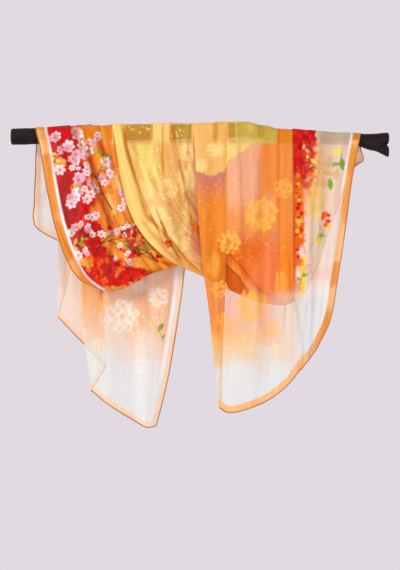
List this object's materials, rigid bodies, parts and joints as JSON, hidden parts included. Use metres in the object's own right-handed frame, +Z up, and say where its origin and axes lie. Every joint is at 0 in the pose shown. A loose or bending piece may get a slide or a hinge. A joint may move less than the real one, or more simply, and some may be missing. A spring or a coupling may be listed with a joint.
{
  "type": "gauze scarf draped over a branch",
  "caption": "Sheer floral gauze scarf with an orange hem, draped over a bare branch: one end behind, a swag under it and one end in front.",
  "frame": {"origin": "on the axis of the branch, halfway between its sawn ends", "axes": "+X along the branch, to the right seen from the front; +Y away from the viewer; +Z up"},
  "size_m": [0.76, 0.0703, 0.6183],
  "materials": {
    "bark": "dark brown, nearly black bark with a low sheen, sawn at both ends",
    "gauze": "sheer chiffon gauze, red, orange, gold and cream floral print, orange rolled hem"
  },
  "bodies": {
    "root": {"branch": "bark", "left_end": "gauze", "front_lobe": "gauze", "front_sweep": "gauze", "back_swag": "gauze", "right_end": "gauze"}
  },
  "joints": []
}
